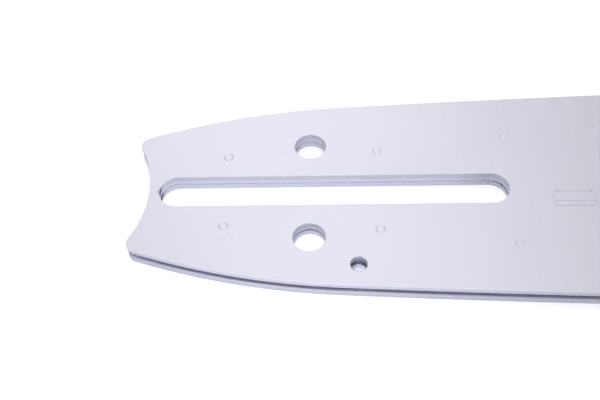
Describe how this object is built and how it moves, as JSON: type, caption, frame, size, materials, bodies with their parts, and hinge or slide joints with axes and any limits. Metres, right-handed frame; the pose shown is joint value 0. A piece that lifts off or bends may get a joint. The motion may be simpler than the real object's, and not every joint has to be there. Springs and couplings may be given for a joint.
{
  "type": "chainsaw guide bar",
  "caption": "Laminated steel guide bar for a chainsaw, with a stud slot, tensioner and oil holes, a chain groove round its rails and a sprocket that turns in its nose.",
  "frame": {"origin": "middle of the stud slot, on the face that the bar lies on", "axes": "+X along the bar from its tail to its nose, +Z through its thickness, out of its front face"},
  "size_m": [0.4487, 0.0604, 0.0043],
  "materials": {
    "plate_steel": "fine satin",
    "core_steel": "punched edges, left bare",
    "sprocket_steel": "hardened, dark",
    "bearing_steel": "ground bright",
    "rivet_steel": "ground flush"
  },
  "bodies": {
    "bar": {"front_side_plate": "plate_steel", "core_plate": "core_steel", "back_side_plate": "plate_steel", "bearing_hub": "bearing_steel", "nose_rivets": "rivet_steel"},
    "sprocket": {"nose_sprocket": "sprocket_steel"},
    "roller_set": {"bearing_roller_01": "bearing_steel", "bearing_roller_02": "bearing_steel", "bearing_roller_03": "bearing_steel", "bearing_roller_04": "bearing_steel", "bearing_roller_05": "bearing_steel", "bearing_roller_06": "bearing_steel", "bearing_roller_07": "bearing_steel", "bearing_roller_08": "bearing_steel", "bearing_roller_09": "bearing_steel", "bearing_roller_10": "bearing_steel", "bearing_roller_11": "bearing_steel", "bearing_roller_12": "bearing_steel", "bearing_roller_13": "bearing_steel", "bearing_roller_14": "bearing_steel", "bearing_roller_15": "bearing_steel", "bearing_roller_16": "bearing_steel", "bearing_roller_17": "bearing_steel", "bearing_roller_18": "bearing_steel", "bearing_roller_19": "bearing_steel", "bearing_roller_20": "bearing_steel", "bearing_roller_21": "bearing_steel", "bearing_roller_22": "bearing_steel"}
  },
  "joints": [
    {"name": "sprocket_spin", "type": "hinge", "parent": "bar", "child": "sprocket", "pos_m": [0.3796, 0, 0.00215], "axis": [0, 0, 1], "continuous": true},
    {"name": "roller_orbit", "type": "hinge", "parent": "bar", "child": "roller_set", "pos_m": [0.3796, 0, 0.00215], "axis": [0, 0, 1], "continuous": true}
  ],
  "couplings": [
    {"joint": "roller_orbit", "follows": "sprocket_spin", "ratio": 0.56897}
  ]
}
